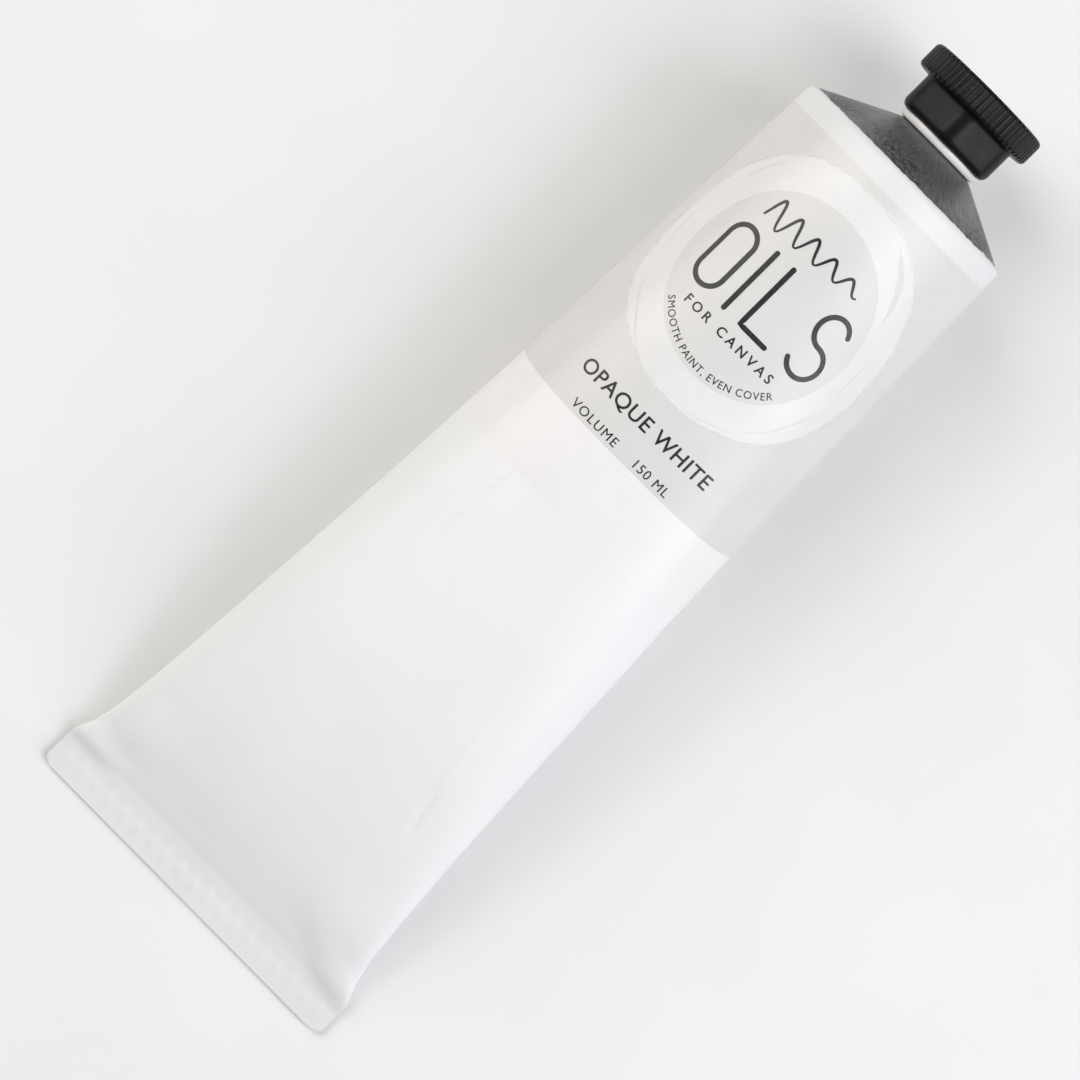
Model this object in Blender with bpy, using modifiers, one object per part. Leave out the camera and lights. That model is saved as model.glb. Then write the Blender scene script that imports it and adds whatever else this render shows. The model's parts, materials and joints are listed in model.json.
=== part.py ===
"""Collapsible paint tube with a screw cap.

Metres, +Z up, +X along the tube from the folded tail to the cap. The tube lies on its underside.
Sleeve sections are given in the tube's own frame: x along the axis from the tail end, y across,
z up from the axis. A tilted empty lays that frame on the ground.
"""

import math

import bmesh
import bpy

# ---- sleeve -------------------------------------------------------------------------------------
SLEEVE_SIDES = 48
PAINT_SIDES = 24
WALL = 0.00025
BODY_RADIUS = 0.0200
TAIL_DROP = 0.0006
RIM_CORNER_X = 0.1574
RIM_CORNER_RADIUS = 0.0013
RIM_CORNER_STEPS = 3
CONE_TILT = math.radians(26.2)
# x along the tube, half width, height
SHAPE = (
    (0.0000, 0.03080, 0.00120),
    (0.0058, 0.03060, 0.00120),
    (0.0090, 0.02940, 0.00310),
    (0.0124, 0.02850, 0.00510),
    (0.0188, 0.02765, 0.00870),
    (0.0317, 0.02640, 0.01450),
    (0.0507, 0.02500, 0.02110),
    (0.0758, 0.02345, 0.02730),
    (0.1006, 0.02210, 0.03240),
    (0.1300, 0.02095, 0.03680),
    (0.1500, 0.02020, 0.03950),
    (0.1574, 0.02000, 0.04000),
)
SLEEVE_ROWS = (
    0.0000, 0.0002, 0.0006, 0.0014, 0.0058, 0.0072, 0.0090, 0.0096, 0.0124, 0.0188, 0.0250, 0.0317, 0.0410,
    0.0507, 0.0630, 0.0758, 0.0882, 0.1006, 0.1150, 0.1300, 0.1420, 0.1500, 0.1554, 0.1574,
)
TAIL_CORNER = 0.0014
FOLD_END = 0.0058
TOP_FLAT_END = 0.0150
BASE_FLAT_END = 0.1350
FLAT_SHARE = 0.5
CAVITY_START = 0.0064
REST_SLOPE = math.atan((BODY_RADIUS - TAIL_DROP) / RIM_CORNER_X)
SMOOTH_DEGREES = 35.0

# ---- crimp ribs on the folded tail ----------------------------------------------------------------
RIB_COUNT = 19
RIB_PITCH = 0.0031
RIB_X = 0.0027
RIB_LENGTH = 0.0030
RIB_WIDTH = 0.0011
RIB_RISE = 0.00022
RIB_SINK = 0.0004
RIB_TOP_SHARES = (0.8, 0.55, 1.0)

# ---- contents and tail seal -----------------------------------------------------------------------
CONTENT_GAP = 0.00015
SEALANT_ROWS = (0.0068, 0.0072, 0.0090)
PAINT_START = 0.0096
PAINT_CONE_GAP = 0.0003
PAINT_CONE_END = 0.1606
PAINT_SHOULDER_X = 0.1576
PAINT_SHOULDER_RADIUS = 0.0184

# ---- wrap label ------------------------------------------------------------------------------------
LABEL_START = 0.0882
LABEL_END = 0.1554
LABEL_GAP = 0.0001
LABEL_THICK = 0.0001
LABEL_SEAM_SHARE = 0.3

# ---- shoulder and neck -----------------------------------------------------------------------------
NECK_SIDES = 36
CONE_START_X = 0.15895
CONE_START_RADIUS = 0.0188
CONE_TOP_X = 0.1644
CONE_TOP_RADIUS = 0.0076
CONE_WALL = 0.0009
NECK_RADIUS = 0.00605
NECK_FOOT = 0.0005
NECK_TOP_X = 0.1731
NECK_EDGE = 0.0002
BORE_RADIUS = 0.0045
THREAD_PITCH = 0.0025
THREAD_HEIGHT = 0.00065
THREAD_CREST_SHARE = 0.10
THREAD_FOOT_SHARE = 0.22
THREAD_ROWS_PER_PITCH = 8
NECK_THREAD_START = 0.1662
NECK_THREAD_END = 0.1726

# ---- neck ring -------------------------------------------------------------------------------------
RING_START = 0.16475
RING_END = 0.1657
RING_BORE = 0.00705
RING_BASE_RADIUS = 0.0074
RING_TOP_RADIUS = 0.0076
RING_EDGE = 0.0001
RING_LIP = 0.0004

# ---- cap -------------------------------------------------------------------------------------------
CAP_X = 0.1660
HEAD_X = 0.1718
CAP_TOP_X = 0.1762
HEX_APOTHEM = 0.00855
HEX_CORNER_RADIUS = 0.00925
HEX_CHAMFER_HEIGHT = 0.0012
HEX_CHAMFER_DEPTH = 0.0009
HEAD_RADIUS = 0.01085
HEAD_ROUND = 0.00075
UNDER_EDGE_HEIGHT = 0.0004
UNDER_EDGE_DEPTH = 0.00025
TOP_EDGE_HEIGHT = 0.0002
TOP_EDGE_DEPTH = 0.00035
KNURL_COUNT = 60
KNURL_DEPTH = 0.0003
CAP_CAVITY_RADIUS = 0.00705
CAP_CEILING_X = 0.1746
CAP_CAVITY_SIDES = 36
CAP_CAVITY_RUNOUT = 0.001
CAP_THREAD_START = 0.1667
CAP_THREAD_END = 0.1718
CAP_THREAD_OFFSET = 0.5

# ---- liner -----------------------------------------------------------------------------------------
LINER_RADIUS = 0.0067
LINER_X = 0.1734
LINER_THICK = 0.0009
TURNED_STEPS = 36
MERGE_DISTANCE = 0.00001


def smooth_step(value):
    t = min(max(value, 0.0), 1.0)
    return t * t * (3.0 - 2.0 * t)


def through_stations(column, x):
    """Monotone cubic through one column of SHAPE."""
    last = len(SHAPE) - 1
    index = 0
    while index < last - 1 and x > SHAPE[index + 1][0]:
        index += 1
    slopes = []
    for k in range(last):
        run = SHAPE[k + 1][0] - SHAPE[k][0]
        slopes.append((SHAPE[k + 1][column] - SHAPE[k][column]) / run)

    def tangent(k):
        if k == 0:
            return slopes[0]
        if k == last:
            return slopes[last - 1]
        if slopes[k - 1] * slopes[k] <= 0.0:
            return 0.0
        return 2.0 * slopes[k - 1] * slopes[k] / (slopes[k - 1] + slopes[k])

    x0 = SHAPE[index][0]
    run = SHAPE[index + 1][0] - x0
    t = min(max((x - x0) / run, 0.0), 1.0)
    start = SHAPE[index][column]
    end = SHAPE[index + 1][column]
    a = (2.0 * t ** 3 - 3.0 * t ** 2 + 1.0) * start
    b = (t ** 3 - 2.0 * t ** 2 + t) * run * tangent(index)
    c = (3.0 * t ** 2 - 2.0 * t ** 3) * end
    d = (t ** 3 - t ** 2) * run * tangent(index + 1)
    return a + b + c + d


def half_width(x):
    width = through_stations(1, x)
    if x < TAIL_CORNER:
        reach = (TAIL_CORNER - x) / TAIL_CORNER
        width -= TAIL_CORNER * (1.0 - math.sqrt(1.0 - reach * reach))
    return width


def underside(x):
    """The straight line the tube rests on, from the tail to the shoulder."""
    return -(TAIL_DROP + (BODY_RADIUS - TAIL_DROP) * x / RIM_CORNER_X)


def flattened(sine, share):
    return math.copysign(min(1.0, abs(sine) / share), sine)


def ring_points(x, width, top, bottom, top_share, base_share, sides):
    """A section between an ellipse and a stadium, its top and base flattened by the shares given.

    The width follows the odd polynomial in the cosine that reaches the sides with a level slope.
    """
    b = (top - bottom) / 2.0
    middle = (top + bottom) / 2.0
    points = []
    for i in range(sides):
        angle = 2.0 * math.pi * i / sides
        c = math.cos(angle)
        s = math.sin(angle)
        spread = c * (15.0 - 10.0 * c ** 2 + 3.0 * c ** 4) / 8.0
        share = top_share if s > 0.0 else base_share
        points.append((x, (width - b) * spread + b * c, middle + b * flattened(s, share)))
    return points


def sleeve_ring(x, inset, sides=SLEEVE_SIDES):
    width = half_width(x)
    bottom = underside(x)
    top = bottom + through_stations(2, x)
    top_reach = smooth_step((x - FOLD_END) / (TOP_FLAT_END - FOLD_END))
    base_reach = min(max((x - FOLD_END) / (BASE_FLAT_END - FOLD_END), 0.0), 1.0)
    top_share = FLAT_SHARE + (1.0 - FLAT_SHARE) * top_reach
    base_share = FLAT_SHARE + (1.0 - FLAT_SHARE) * base_reach
    return ring_points(x, width - inset, top - inset, bottom + inset, top_share, base_share, sides)


def round_ring(x, radius, sides=SLEEVE_SIDES):
    return ring_points(x, radius, radius, -radius, 1.0, 1.0, sides)


def rim_rings(inset):
    """The corner that turns from the sleeve's side into the shoulder cone."""
    rings = []
    centre_radius = BODY_RADIUS - RIM_CORNER_RADIUS
    turn = math.pi / 2.0 - CONE_TILT
    for i in range(1, RIM_CORNER_STEPS + 1):
        angle = turn * i / RIM_CORNER_STEPS
        reach = RIM_CORNER_RADIUS - inset
        ring_x = RIM_CORNER_X + reach * math.sin(angle)
        rings.append(round_ring(ring_x, centre_radius + reach * math.cos(angle)))
    return rings


def thread_ridge(x, angle, offset, start, end):
    """Height share, 0 to 1, of a right-handed ridge at x along the axis."""
    phase = (x / THREAD_PITCH - angle / (2.0 * math.pi) + offset) % 1.0
    away = abs(phase - 0.5)
    crest = 1.0 - (away - THREAD_CREST_SHARE) / (THREAD_FOOT_SHARE - THREAD_CREST_SHARE)
    fade = min((x - start) / (THREAD_PITCH / 2.0), (end - x) / (THREAD_PITCH / 2.0))
    return min(max(crest, 0.0), 1.0) * min(max(fade, 0.0), 1.0)


def make_material(name, colour, metallic, roughness):
    material = bpy.data.materials.new(name)
    material.use_nodes = True
    shader = material.node_tree.nodes["Principled BSDF"]
    shader.inputs["Base Color"].default_value = (colour[0], colour[1], colour[2], 1.0)
    shader.inputs["Metallic"].default_value = metallic
    shader.inputs["Roughness"].default_value = roughness
    return material


def add_object(name, mesh, collection, parent):
    thing = bpy.data.objects.new(name, mesh)
    collection.objects.link(thing)
    thing.parent = parent
    return thing


def loft_mesh(name, rings, joined=False, mirrored_from=None):
    """Triangles between neighbouring rings; the ends are closed, or joined to each other.

    Each four-sided patch is split along the same diagonal on every skin, so that thin skins laid over
    each other stay apart. Points from mirrored_from on run the other way round, and split the other way.
    """
    bm = bmesh.new()
    rows = []
    for ring in rings:
        rows.append([bm.verts.new(point) for point in ring])
    count = len(rows[0])
    pairs = list(zip(rows[:-1], rows[1:]))
    if joined:
        pairs.append((rows[-1], rows[0]))
    for first, second in pairs:
        lower, upper = (first, second) if first[0].co.x <= second[0].co.x else (second, first)
        for i in range(count):
            after = (i + 1) % count
            if mirrored_from is None or i < mirrored_from:
                bm.faces.new((lower[i], lower[after], upper[after]))
                bm.faces.new((lower[i], upper[after], upper[i]))
            else:
                bm.faces.new((lower[i], lower[after], upper[i]))
                bm.faces.new((lower[after], upper[after], upper[i]))
    if not joined:
        bm.faces.new(rows[0])
        bm.faces.new(rows[-1])
    bmesh.ops.recalc_face_normals(bm, faces=bm.faces)
    mesh = bpy.data.meshes.new(name)
    bm.to_mesh(mesh)
    bm.free()
    return mesh


def axis_ring(x, radius_at, sides):
    """A ring about local Z at height x, its radius a function of the angle."""
    ring = []
    for i in range(sides):
        angle = 2.0 * math.pi * i / sides
        radius = radius_at(angle)
        ring.append((radius * math.cos(angle), radius * math.sin(angle), x))
    return ring


def turned(name, profile, collection, parent, steps):
    """A profile of (radius, height) pairs, closed on itself, turned about local Z."""
    mesh = bpy.data.meshes.new(name)
    points = [(radius, 0.0, height) for radius, height in profile]
    edges = [(i, (i + 1) % len(points)) for i in range(len(points))]
    mesh.from_pydata(points, edges, [])
    thing = add_object(name, mesh, collection, parent)
    screw = thing.modifiers.new("turn", "SCREW")
    screw.axis = "Z"
    screw.steps = steps
    screw.render_steps = steps
    screw.use_merge_vertices = True
    screw.merge_threshold = MERGE_DISTANCE
    return thing


def shade_smooth(thing, degrees):
    for face in thing.data.polygons:
        face.use_smooth = True
    thing.data.set_sharp_from_angle(angle=math.radians(degrees))


def add_boolean(target, cutter, operation):
    boolean = target.modifiers.new(cutter.name, "BOOLEAN")
    boolean.operation = operation
    boolean.solver = "EXACT"
    boolean.object = cutter


def hide_cutter(cutter):
    cutter.display_type = "WIRE"
    cutter.hide_render = True


for old in list(bpy.data.objects):
    bpy.data.objects.remove(old, do_unlink=True)

tube_parts = bpy.data.collections.new("paint_tube")
cutters = bpy.data.collections.new("paint_tube_cutters")
bpy.context.scene.collection.children.link(tube_parts)
bpy.context.scene.collection.children.link(cutters)

enamel = make_material("white_enamel", (0.86, 0.86, 0.85), 0.0, 0.25)
bare_metal = make_material("bare_aluminium", (0.35, 0.35, 0.36), 1.0, 0.45)
white_plastic = make_material("white_plastic", (0.88, 0.88, 0.87), 0.0, 0.4)
black_plastic = make_material("black_plastic", (0.03, 0.03, 0.03), 0.0, 0.4)
label_film = make_material("label_film", (0.72, 0.71, 0.70), 0.0, 0.35)
white_paint = make_material("white_paint", (0.95, 0.95, 0.93), 0.0, 0.3)
sealant_rubber = make_material("sealant_rubber", (0.55, 0.50, 0.38), 0.0, 0.7)
liner_foam = make_material("liner_foam", (0.80, 0.80, 0.78), 0.0, 0.8)

rest = bpy.data.objects.new("tube_rest", None)
tube_parts.objects.link(rest)
axis = bpy.data.objects.new("tube_axis", None)
tube_parts.objects.link(axis)
axis.parent = rest
axis.rotation_euler = (0.0, math.pi / 2.0, 0.0)

# Sleeve: the outer skin runs from the tail to the rim, the inner skin back to the fold.
outer_rings = [sleeve_ring(x, 0.0) for x in SLEEVE_ROWS] + rim_rings(0.0)
inner_rows = [x for x in SLEEVE_ROWS if x > CAVITY_START]
inner_rings = [sleeve_ring(CAVITY_START, WALL)]
inner_rings += [sleeve_ring(x, WALL) for x in inner_rows] + rim_rings(WALL)
sleeve_mesh = loft_mesh("tube_sleeve", outer_rings + inner_rings[::-1])
sleeve = add_object("tube_sleeve", sleeve_mesh, tube_parts, rest)
sleeve.data.materials.append(enamel)

# Crimp ribs pressed across the folded tail.
rib_mesh = bmesh.new()
for i in range(RIB_COUNT):
    rib_verts = bmesh.ops.create_cube(rib_mesh, size=1.0)["verts"]
    bmesh.ops.scale(rib_mesh, vec=(RIB_LENGTH, RIB_WIDTH, RIB_RISE + RIB_SINK), verts=rib_verts)
    top_verts = [v for v in rib_verts if v.co.z > 0.0]
    bmesh.ops.scale(rib_mesh, vec=RIB_TOP_SHARES, verts=top_verts)
    rib_y = (i - (RIB_COUNT - 1) / 2.0) * RIB_PITCH
    bmesh.ops.translate(rib_mesh, vec=(0.0, rib_y, 0.0), verts=rib_verts)
rib_data = bpy.data.meshes.new("crimp_ribs")
rib_mesh.to_mesh(rib_data)
rib_mesh.free()
ribs = add_object("crimp_ribs", rib_data, cutters, rest)
rib_top = underside(RIB_X) + through_stations(2, RIB_X)
ribs.location = (RIB_X, 0.0, rib_top + (RIB_RISE - RIB_SINK) / 2.0)
ribs.rotation_euler = (0.0, REST_SLOPE, 0.0)
hide_cutter(ribs)
add_boolean(sleeve, ribs, "UNION")
shade_smooth(sleeve, SMOOTH_DEGREES)

# Sealant strip squeezed into the tail before it was folded.
seal_inset = WALL + CONTENT_GAP
sealant_mesh = loft_mesh("end_sealant", [sleeve_ring(x, seal_inset) for x in SEALANT_ROWS])
sealant = add_object("end_sealant", sealant_mesh, tube_parts, rest)
sealant.data.materials.append(sealant_rubber)

# Paint fills the sleeve up to the cone of the shoulder.
paint_rows = [x for x in SLEEVE_ROWS if x >= PAINT_START]
paint_rings = [sleeve_ring(x, seal_inset, PAINT_SIDES) for x in paint_rows]
cone_slope = (CONE_START_RADIUS - CONE_TOP_RADIUS) / (CONE_TOP_X - CONE_START_X)
cone_inner = CONE_WALL / math.cos(CONE_TILT)
inner_shift = cone_inner + PAINT_CONE_GAP
paint_rings.append(round_ring(PAINT_SHOULDER_X, PAINT_SHOULDER_RADIUS, PAINT_SIDES))
paint_end_radius = CONE_START_RADIUS - (PAINT_CONE_END + inner_shift - CONE_START_X) * cone_slope
paint_rings.append(round_ring(PAINT_CONE_END, paint_end_radius, PAINT_SIDES))
paint = add_object("paint_fill", loft_mesh("paint_fill", paint_rings), tube_parts, rest)
paint.data.materials.append(white_paint)
shade_smooth(paint, SMOOTH_DEGREES)


def label_section(x):
    """The strip's closed outline at x: round the outside from one seam edge to the other and back inside."""
    base = 3 * SLEEVE_SIDES // 4
    outside = sleeve_ring(x, -(LABEL_GAP + LABEL_THICK))
    inside = sleeve_ring(x, -LABEL_GAP)

    def strip(ring):
        around = [ring[(base + i) % SLEEVE_SIDES] for i in range(SLEEVE_SIDES + 1)]
        for end, neighbour in ((0, 1), (-1, -2)):
            near = around[end]
            far = around[neighbour]
            around[end] = tuple(n + (f - n) * LABEL_SEAM_SHARE for n, f in zip(near, far))
        return around

    return strip(outside) + strip(inside)[::-1]


label_rows = [x for x in SLEEVE_ROWS if LABEL_START <= x <= LABEL_END]
label_rings = [label_section(x) for x in label_rows]
label_mesh = loft_mesh("wrap_label", label_rings, mirrored_from=SLEEVE_SIDES + 1)
label = add_object("wrap_label", label_mesh, tube_parts, rest)
label.data.materials.append(label_film)
shade_smooth(label, SMOOTH_DEGREES)

# Shoulder cone and threaded neck in one piece, about the tube axis.
thread_row = THREAD_PITCH / THREAD_ROWS_PER_PITCH
neck_rows = int(round((NECK_THREAD_END - NECK_THREAD_START) / thread_row))


def plain(radius):
    def radius_at(angle):
        return radius
    return radius_at


def neck_thread_radius(x):
    def radius_at(angle):
        ridge = thread_ridge(x, angle, 0.0, NECK_THREAD_START, NECK_THREAD_END)
        return NECK_RADIUS + THREAD_HEIGHT * ridge
    return radius_at


shoulder_rings = [
    axis_ring(CONE_START_X, plain(CONE_START_RADIUS), NECK_SIDES),
    axis_ring(CONE_TOP_X, plain(CONE_TOP_RADIUS), NECK_SIDES),
    axis_ring(CONE_TOP_X, plain(NECK_RADIUS + NECK_FOOT), NECK_SIDES),
    axis_ring(CONE_TOP_X + NECK_FOOT, plain(NECK_RADIUS), NECK_SIDES),
]
for i in range(neck_rows + 1):
    row_x = NECK_THREAD_START + i * thread_row
    shoulder_rings.append(axis_ring(row_x, neck_thread_radius(row_x), NECK_SIDES))
bore_start = CONE_START_X + (CONE_START_RADIUS - BORE_RADIUS) / cone_slope - cone_inner
shoulder_rings += [
    axis_ring(NECK_TOP_X - NECK_EDGE, plain(NECK_RADIUS), NECK_SIDES),
    axis_ring(NECK_TOP_X, plain(NECK_RADIUS - NECK_EDGE), NECK_SIDES),
    axis_ring(NECK_TOP_X, plain(BORE_RADIUS + NECK_EDGE), NECK_SIDES),
    axis_ring(NECK_TOP_X - NECK_EDGE, plain(BORE_RADIUS), NECK_SIDES),
    axis_ring(bore_start, plain(BORE_RADIUS), NECK_SIDES),
    axis_ring(CONE_START_X - cone_inner, plain(CONE_START_RADIUS), NECK_SIDES),
]
shoulder_mesh = loft_mesh("shoulder_neck", shoulder_rings, joined=True)
shoulder = add_object("shoulder_neck", shoulder_mesh, tube_parts, axis)
shoulder.data.materials.append(bare_metal)
shade_smooth(shoulder, SMOOTH_DEGREES)

# White sealing ring round the foot of the neck.
ring = turned("neck_ring", (
    (RING_BASE_RADIUS, RING_START),
    (RING_BORE, RING_START),
    (RING_BORE, RING_END),
    (RING_TOP_RADIUS - RING_EDGE, RING_END),
    (RING_TOP_RADIUS, RING_END - RING_EDGE),
    (RING_TOP_RADIUS, RING_END - RING_LIP),
), tube_parts, axis, TURNED_STEPS)
ring.data.materials.append(white_plastic)

# Sealing disc under the cap's ceiling.
liner_mesh = bmesh.new()
bmesh.ops.create_cone(
    liner_mesh,
    cap_ends=True,
    segments=TURNED_STEPS,
    radius1=LINER_RADIUS,
    radius2=LINER_RADIUS,
    depth=LINER_THICK,
)
liner_data = bpy.data.meshes.new("cap_liner")
liner_mesh.to_mesh(liner_data)
liner_mesh.free()
liner = add_object("cap_liner", liner_data, tube_parts, axis)
liner.location = (0.0, 0.0, LINER_X + LINER_THICK / 2.0)
liner.data.materials.append(liner_foam)
shade_smooth(liner, SMOOTH_DEGREES)

# Cap: a rounded hexagon that carries a knurled round head, hollowed from below with an inner thread.
# Its heights are measured from its base.
cap_sides = 2 * KNURL_COUNT
head_base = HEAD_X - CAP_X
cap_top = CAP_TOP_X - CAP_X


def hex_radius(inset):
    def radius_at(angle):
        sector = (angle + math.pi / 6.0) % (math.pi / 3.0) - math.pi / 6.0
        return min(HEX_APOTHEM / math.cos(abs(sector) - math.pi / 6.0), HEX_CORNER_RADIUS) - inset
    return radius_at


def knurl_radius(depth):
    def radius_at(angle):
        groove = int(round(angle * cap_sides / (2.0 * math.pi))) % 2
        return HEAD_RADIUS - depth * groove
    return radius_at


cap_rings = [
    axis_ring(0.0, hex_radius(HEX_CHAMFER_DEPTH), cap_sides),
    axis_ring(HEX_CHAMFER_HEIGHT, hex_radius(0.0), cap_sides),
    axis_ring(head_base, hex_radius(0.0), cap_sides),
    axis_ring(head_base, plain(HEAD_RADIUS - HEAD_ROUND), cap_sides),
    axis_ring(head_base + UNDER_EDGE_HEIGHT, plain(HEAD_RADIUS - UNDER_EDGE_DEPTH), cap_sides),
    axis_ring(head_base + HEAD_ROUND, knurl_radius(KNURL_DEPTH), cap_sides),
    axis_ring(cap_top - HEAD_ROUND, knurl_radius(KNURL_DEPTH), cap_sides),
    axis_ring(cap_top - TOP_EDGE_HEIGHT, plain(HEAD_RADIUS - TOP_EDGE_DEPTH), cap_sides),
    axis_ring(cap_top, plain(HEAD_RADIUS - HEAD_ROUND), cap_sides),
]
cap = add_object("screw_cap", loft_mesh("screw_cap", cap_rings), tube_parts, axis)
cap.location = (0.0, 0.0, CAP_X)
cap.data.materials.append(black_plastic)


def cap_thread_radius(x):
    def radius_at(angle):
        ridge = thread_ridge(x, angle, CAP_THREAD_OFFSET, CAP_THREAD_START, CAP_THREAD_END)
        return CAP_CAVITY_RADIUS - THREAD_HEIGHT * ridge
    return radius_at


cavity_rings = [axis_ring(-CAP_CAVITY_RUNOUT, plain(CAP_CAVITY_RADIUS), CAP_CAVITY_SIDES)]
cap_rows = int(round((CAP_THREAD_END - CAP_THREAD_START) / thread_row))
for i in range(cap_rows + 1):
    row_x = CAP_THREAD_START + i * thread_row
    cavity_rings.append(axis_ring(row_x - CAP_X, cap_thread_radius(row_x), CAP_CAVITY_SIDES))
cavity_rings.append(axis_ring(CAP_CEILING_X - CAP_X, plain(CAP_CAVITY_RADIUS), CAP_CAVITY_SIDES))
cavity = add_object("cap_cavity", loft_mesh("cap_cavity", cavity_rings), cutters, axis)
cavity.location = (0.0, 0.0, CAP_X)
hide_cutter(cavity)
add_boolean(cap, cavity, "DIFFERENCE")
shade_smooth(cap, SMOOTH_DEGREES)

# Lay the tube on the ground: tilt it onto its underside, then centre it over the origin.
rest.rotation_euler = (0.0, -REST_SLOPE, 0.0)
bpy.context.view_layer.update()
corners = []
for thing in (sleeve, label, cap):
    corners += [thing.matrix_world @ vertex.co for vertex in thing.data.vertices]
middle_x = (min(c.x for c in corners) + max(c.x for c in corners)) / 2.0
rest.location = (-middle_x, 0.0, -min(c.z for c in corners))
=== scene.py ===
"""Looks of the paint tube: an enamelled aluminium tube with a printed wrap label and a screw cap.

Every piece is drawn in the tube's own frame, x along the axis from the tail end to the cap, y across
and z up from the axis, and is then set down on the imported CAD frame. Metres throughout.
"""

import json
import math

import bmesh
import bpy
import numpy as np
from mathutils import Matrix, Vector, noise


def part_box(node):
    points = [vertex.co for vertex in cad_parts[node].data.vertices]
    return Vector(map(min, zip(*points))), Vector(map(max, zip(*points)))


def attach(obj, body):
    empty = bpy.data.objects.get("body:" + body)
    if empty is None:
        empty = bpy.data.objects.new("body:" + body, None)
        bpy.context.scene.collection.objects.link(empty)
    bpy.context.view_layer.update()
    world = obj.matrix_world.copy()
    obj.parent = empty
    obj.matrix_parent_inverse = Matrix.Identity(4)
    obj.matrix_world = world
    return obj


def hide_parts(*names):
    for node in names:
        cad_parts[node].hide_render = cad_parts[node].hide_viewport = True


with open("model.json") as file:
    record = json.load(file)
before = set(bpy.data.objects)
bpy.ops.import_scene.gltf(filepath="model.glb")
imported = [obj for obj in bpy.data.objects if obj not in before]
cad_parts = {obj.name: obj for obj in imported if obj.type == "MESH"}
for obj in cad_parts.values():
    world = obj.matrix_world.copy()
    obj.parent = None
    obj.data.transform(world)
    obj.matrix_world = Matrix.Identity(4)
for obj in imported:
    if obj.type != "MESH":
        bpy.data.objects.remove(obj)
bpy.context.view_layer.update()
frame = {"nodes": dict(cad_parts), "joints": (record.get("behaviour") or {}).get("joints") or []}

# ---- the tube's frame, from the cap's joint and the CAD nodes -------------------------------------
cap_joint = next(joint for joint in frame["joints"] if joint["name"] == "cap_turn")
AXIS = Vector(cap_joint["axis"]).normalized()
PIVOT = Vector(cap_joint["pos_m"])
ACROSS = Vector((0.0, 1.0, 0.0))
RISE = AXIS.cross(ACROSS)


def span(node, direction):
    """Lowest and highest place of a CAD node's vertices along a direction."""
    places = [vertex.co.dot(direction) for vertex in frame["nodes"][node].data.vertices]
    return min(places), max(places)


TAIL = span("tube_sleeve", AXIS)[0]
ORIGIN = PIVOT + AXIS * (TAIL - PIVOT.dot(AXIS))
TUBE = Matrix((AXIS, ACROSS, RISE)).transposed().to_4x4()
TUBE.translation = ORIGIN


def along(node):
    low, high = span(node, AXIS)
    return low - TAIL, high - TAIL


LABEL_START, LABEL_END = along("wrap_label")
RING_START = along("neck_ring")[0]
NECK_TOP = along("shoulder_neck")[1]
CAP_BASE, CAP_TOP = along("screw_cap")
LINER_START, LINER_END = along("cap_liner")
PAINT_START, PAINT_END = along("paint_fill")
HEAD_RADIUS = span("screw_cap", ACROSS)[1]

# ---- sleeve ---------------------------------------------------------------------------------------
TOP_SIDES = 236
BASE_SIDES = 108
SHARP_EDGE = math.radians(48.0)
BODY_RADIUS = 0.0200
TAIL_DROP = 0.0006
RIM_START = 0.1574
RIM_ROUND = 0.0013
CONE_TILT = math.radians(26.4)
LIP_RADIUS = 0.0190
SKIN = 0.00012
# x along the tube, half width, height
SHAPE = np.array((
    (0.0000, 0.03080, 0.00120),
    (0.0036, 0.03070, 0.00122),
    (0.0060, 0.03055, 0.00168),
    (0.0090, 0.02940, 0.00308),
    (0.0124, 0.02850, 0.00508),
    (0.0188, 0.02765, 0.00868),
    (0.0317, 0.02640, 0.01450),
    (0.0507, 0.02500, 0.02110),
    (0.0758, 0.02345, 0.02730),
    (0.1006, 0.02210, 0.03240),
    (0.1300, 0.02095, 0.03680),
    (0.1500, 0.02020, 0.03950),
    (0.1574, 0.02000, 0.04000),
))
TAIL_CORNER = 0.0015
FOLD = 0.0058
# How the section changes along the tube: an amount, and where along x it fades out
CRISP = 3.0
CRISP_LOSS = 1.2
CRISP_REACH = (0.06, 0.15)
TOP_SQUARE = ((2.5, FOLD * 0.9, 0.013), (0.25, 0.04, 0.13))
BASE_SQUARE = ((2.5, FOLD * 0.9, 0.020), (0.9, 0.05, 0.145))

# The pressed ribs of the fold
RIB_COUNT = 19
RIB_PITCH = 0.0031
RIB_X = 0.0031
RIB_LENGTH = 0.0021
RIB_SHARE = 0.34
RIB_RISE = 0.00019
RIB_EVEN = 0.65
RIB_DEEPEST_Y = 0.004
RIB_DEEPEST_REACH = 0.020

# Soft waves of thin filled metal: height, size, seed; and where they come up and die away along x
WAVES = ((0.00008, 0.022, 1), (0.00003, 0.009, 2))
WAVES_START = (FOLD, 0.020)
WAVES_END = (0.150, 0.157)
# Sine of the angle at which swellings and creases come up from the side
TOP_REACH = (0.02, 0.25)
# Swellings by the ends of the fold, steep towards the tail: side, where it starts, reach of the rise,
# where it ends, slant, distance from the middle, reach across, height
SWELLS = (
    (1.0, 0.0052, 0.0026, 0.0125, 0.03, 0.0272, 0.0085, 0.00046),
    (1.0, 0.0096, 0.0044, 0.0250, -0.04, 0.0225, 0.0085, 0.00038),
    (-1.0, 0.0044, 0.0032, 0.0130, -0.10, 0.0275, 0.0085, 0.00050),
    (-1.0, 0.0072, 0.0060, 0.0280, -0.35, 0.0210, 0.0105, 0.00058),
)
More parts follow.
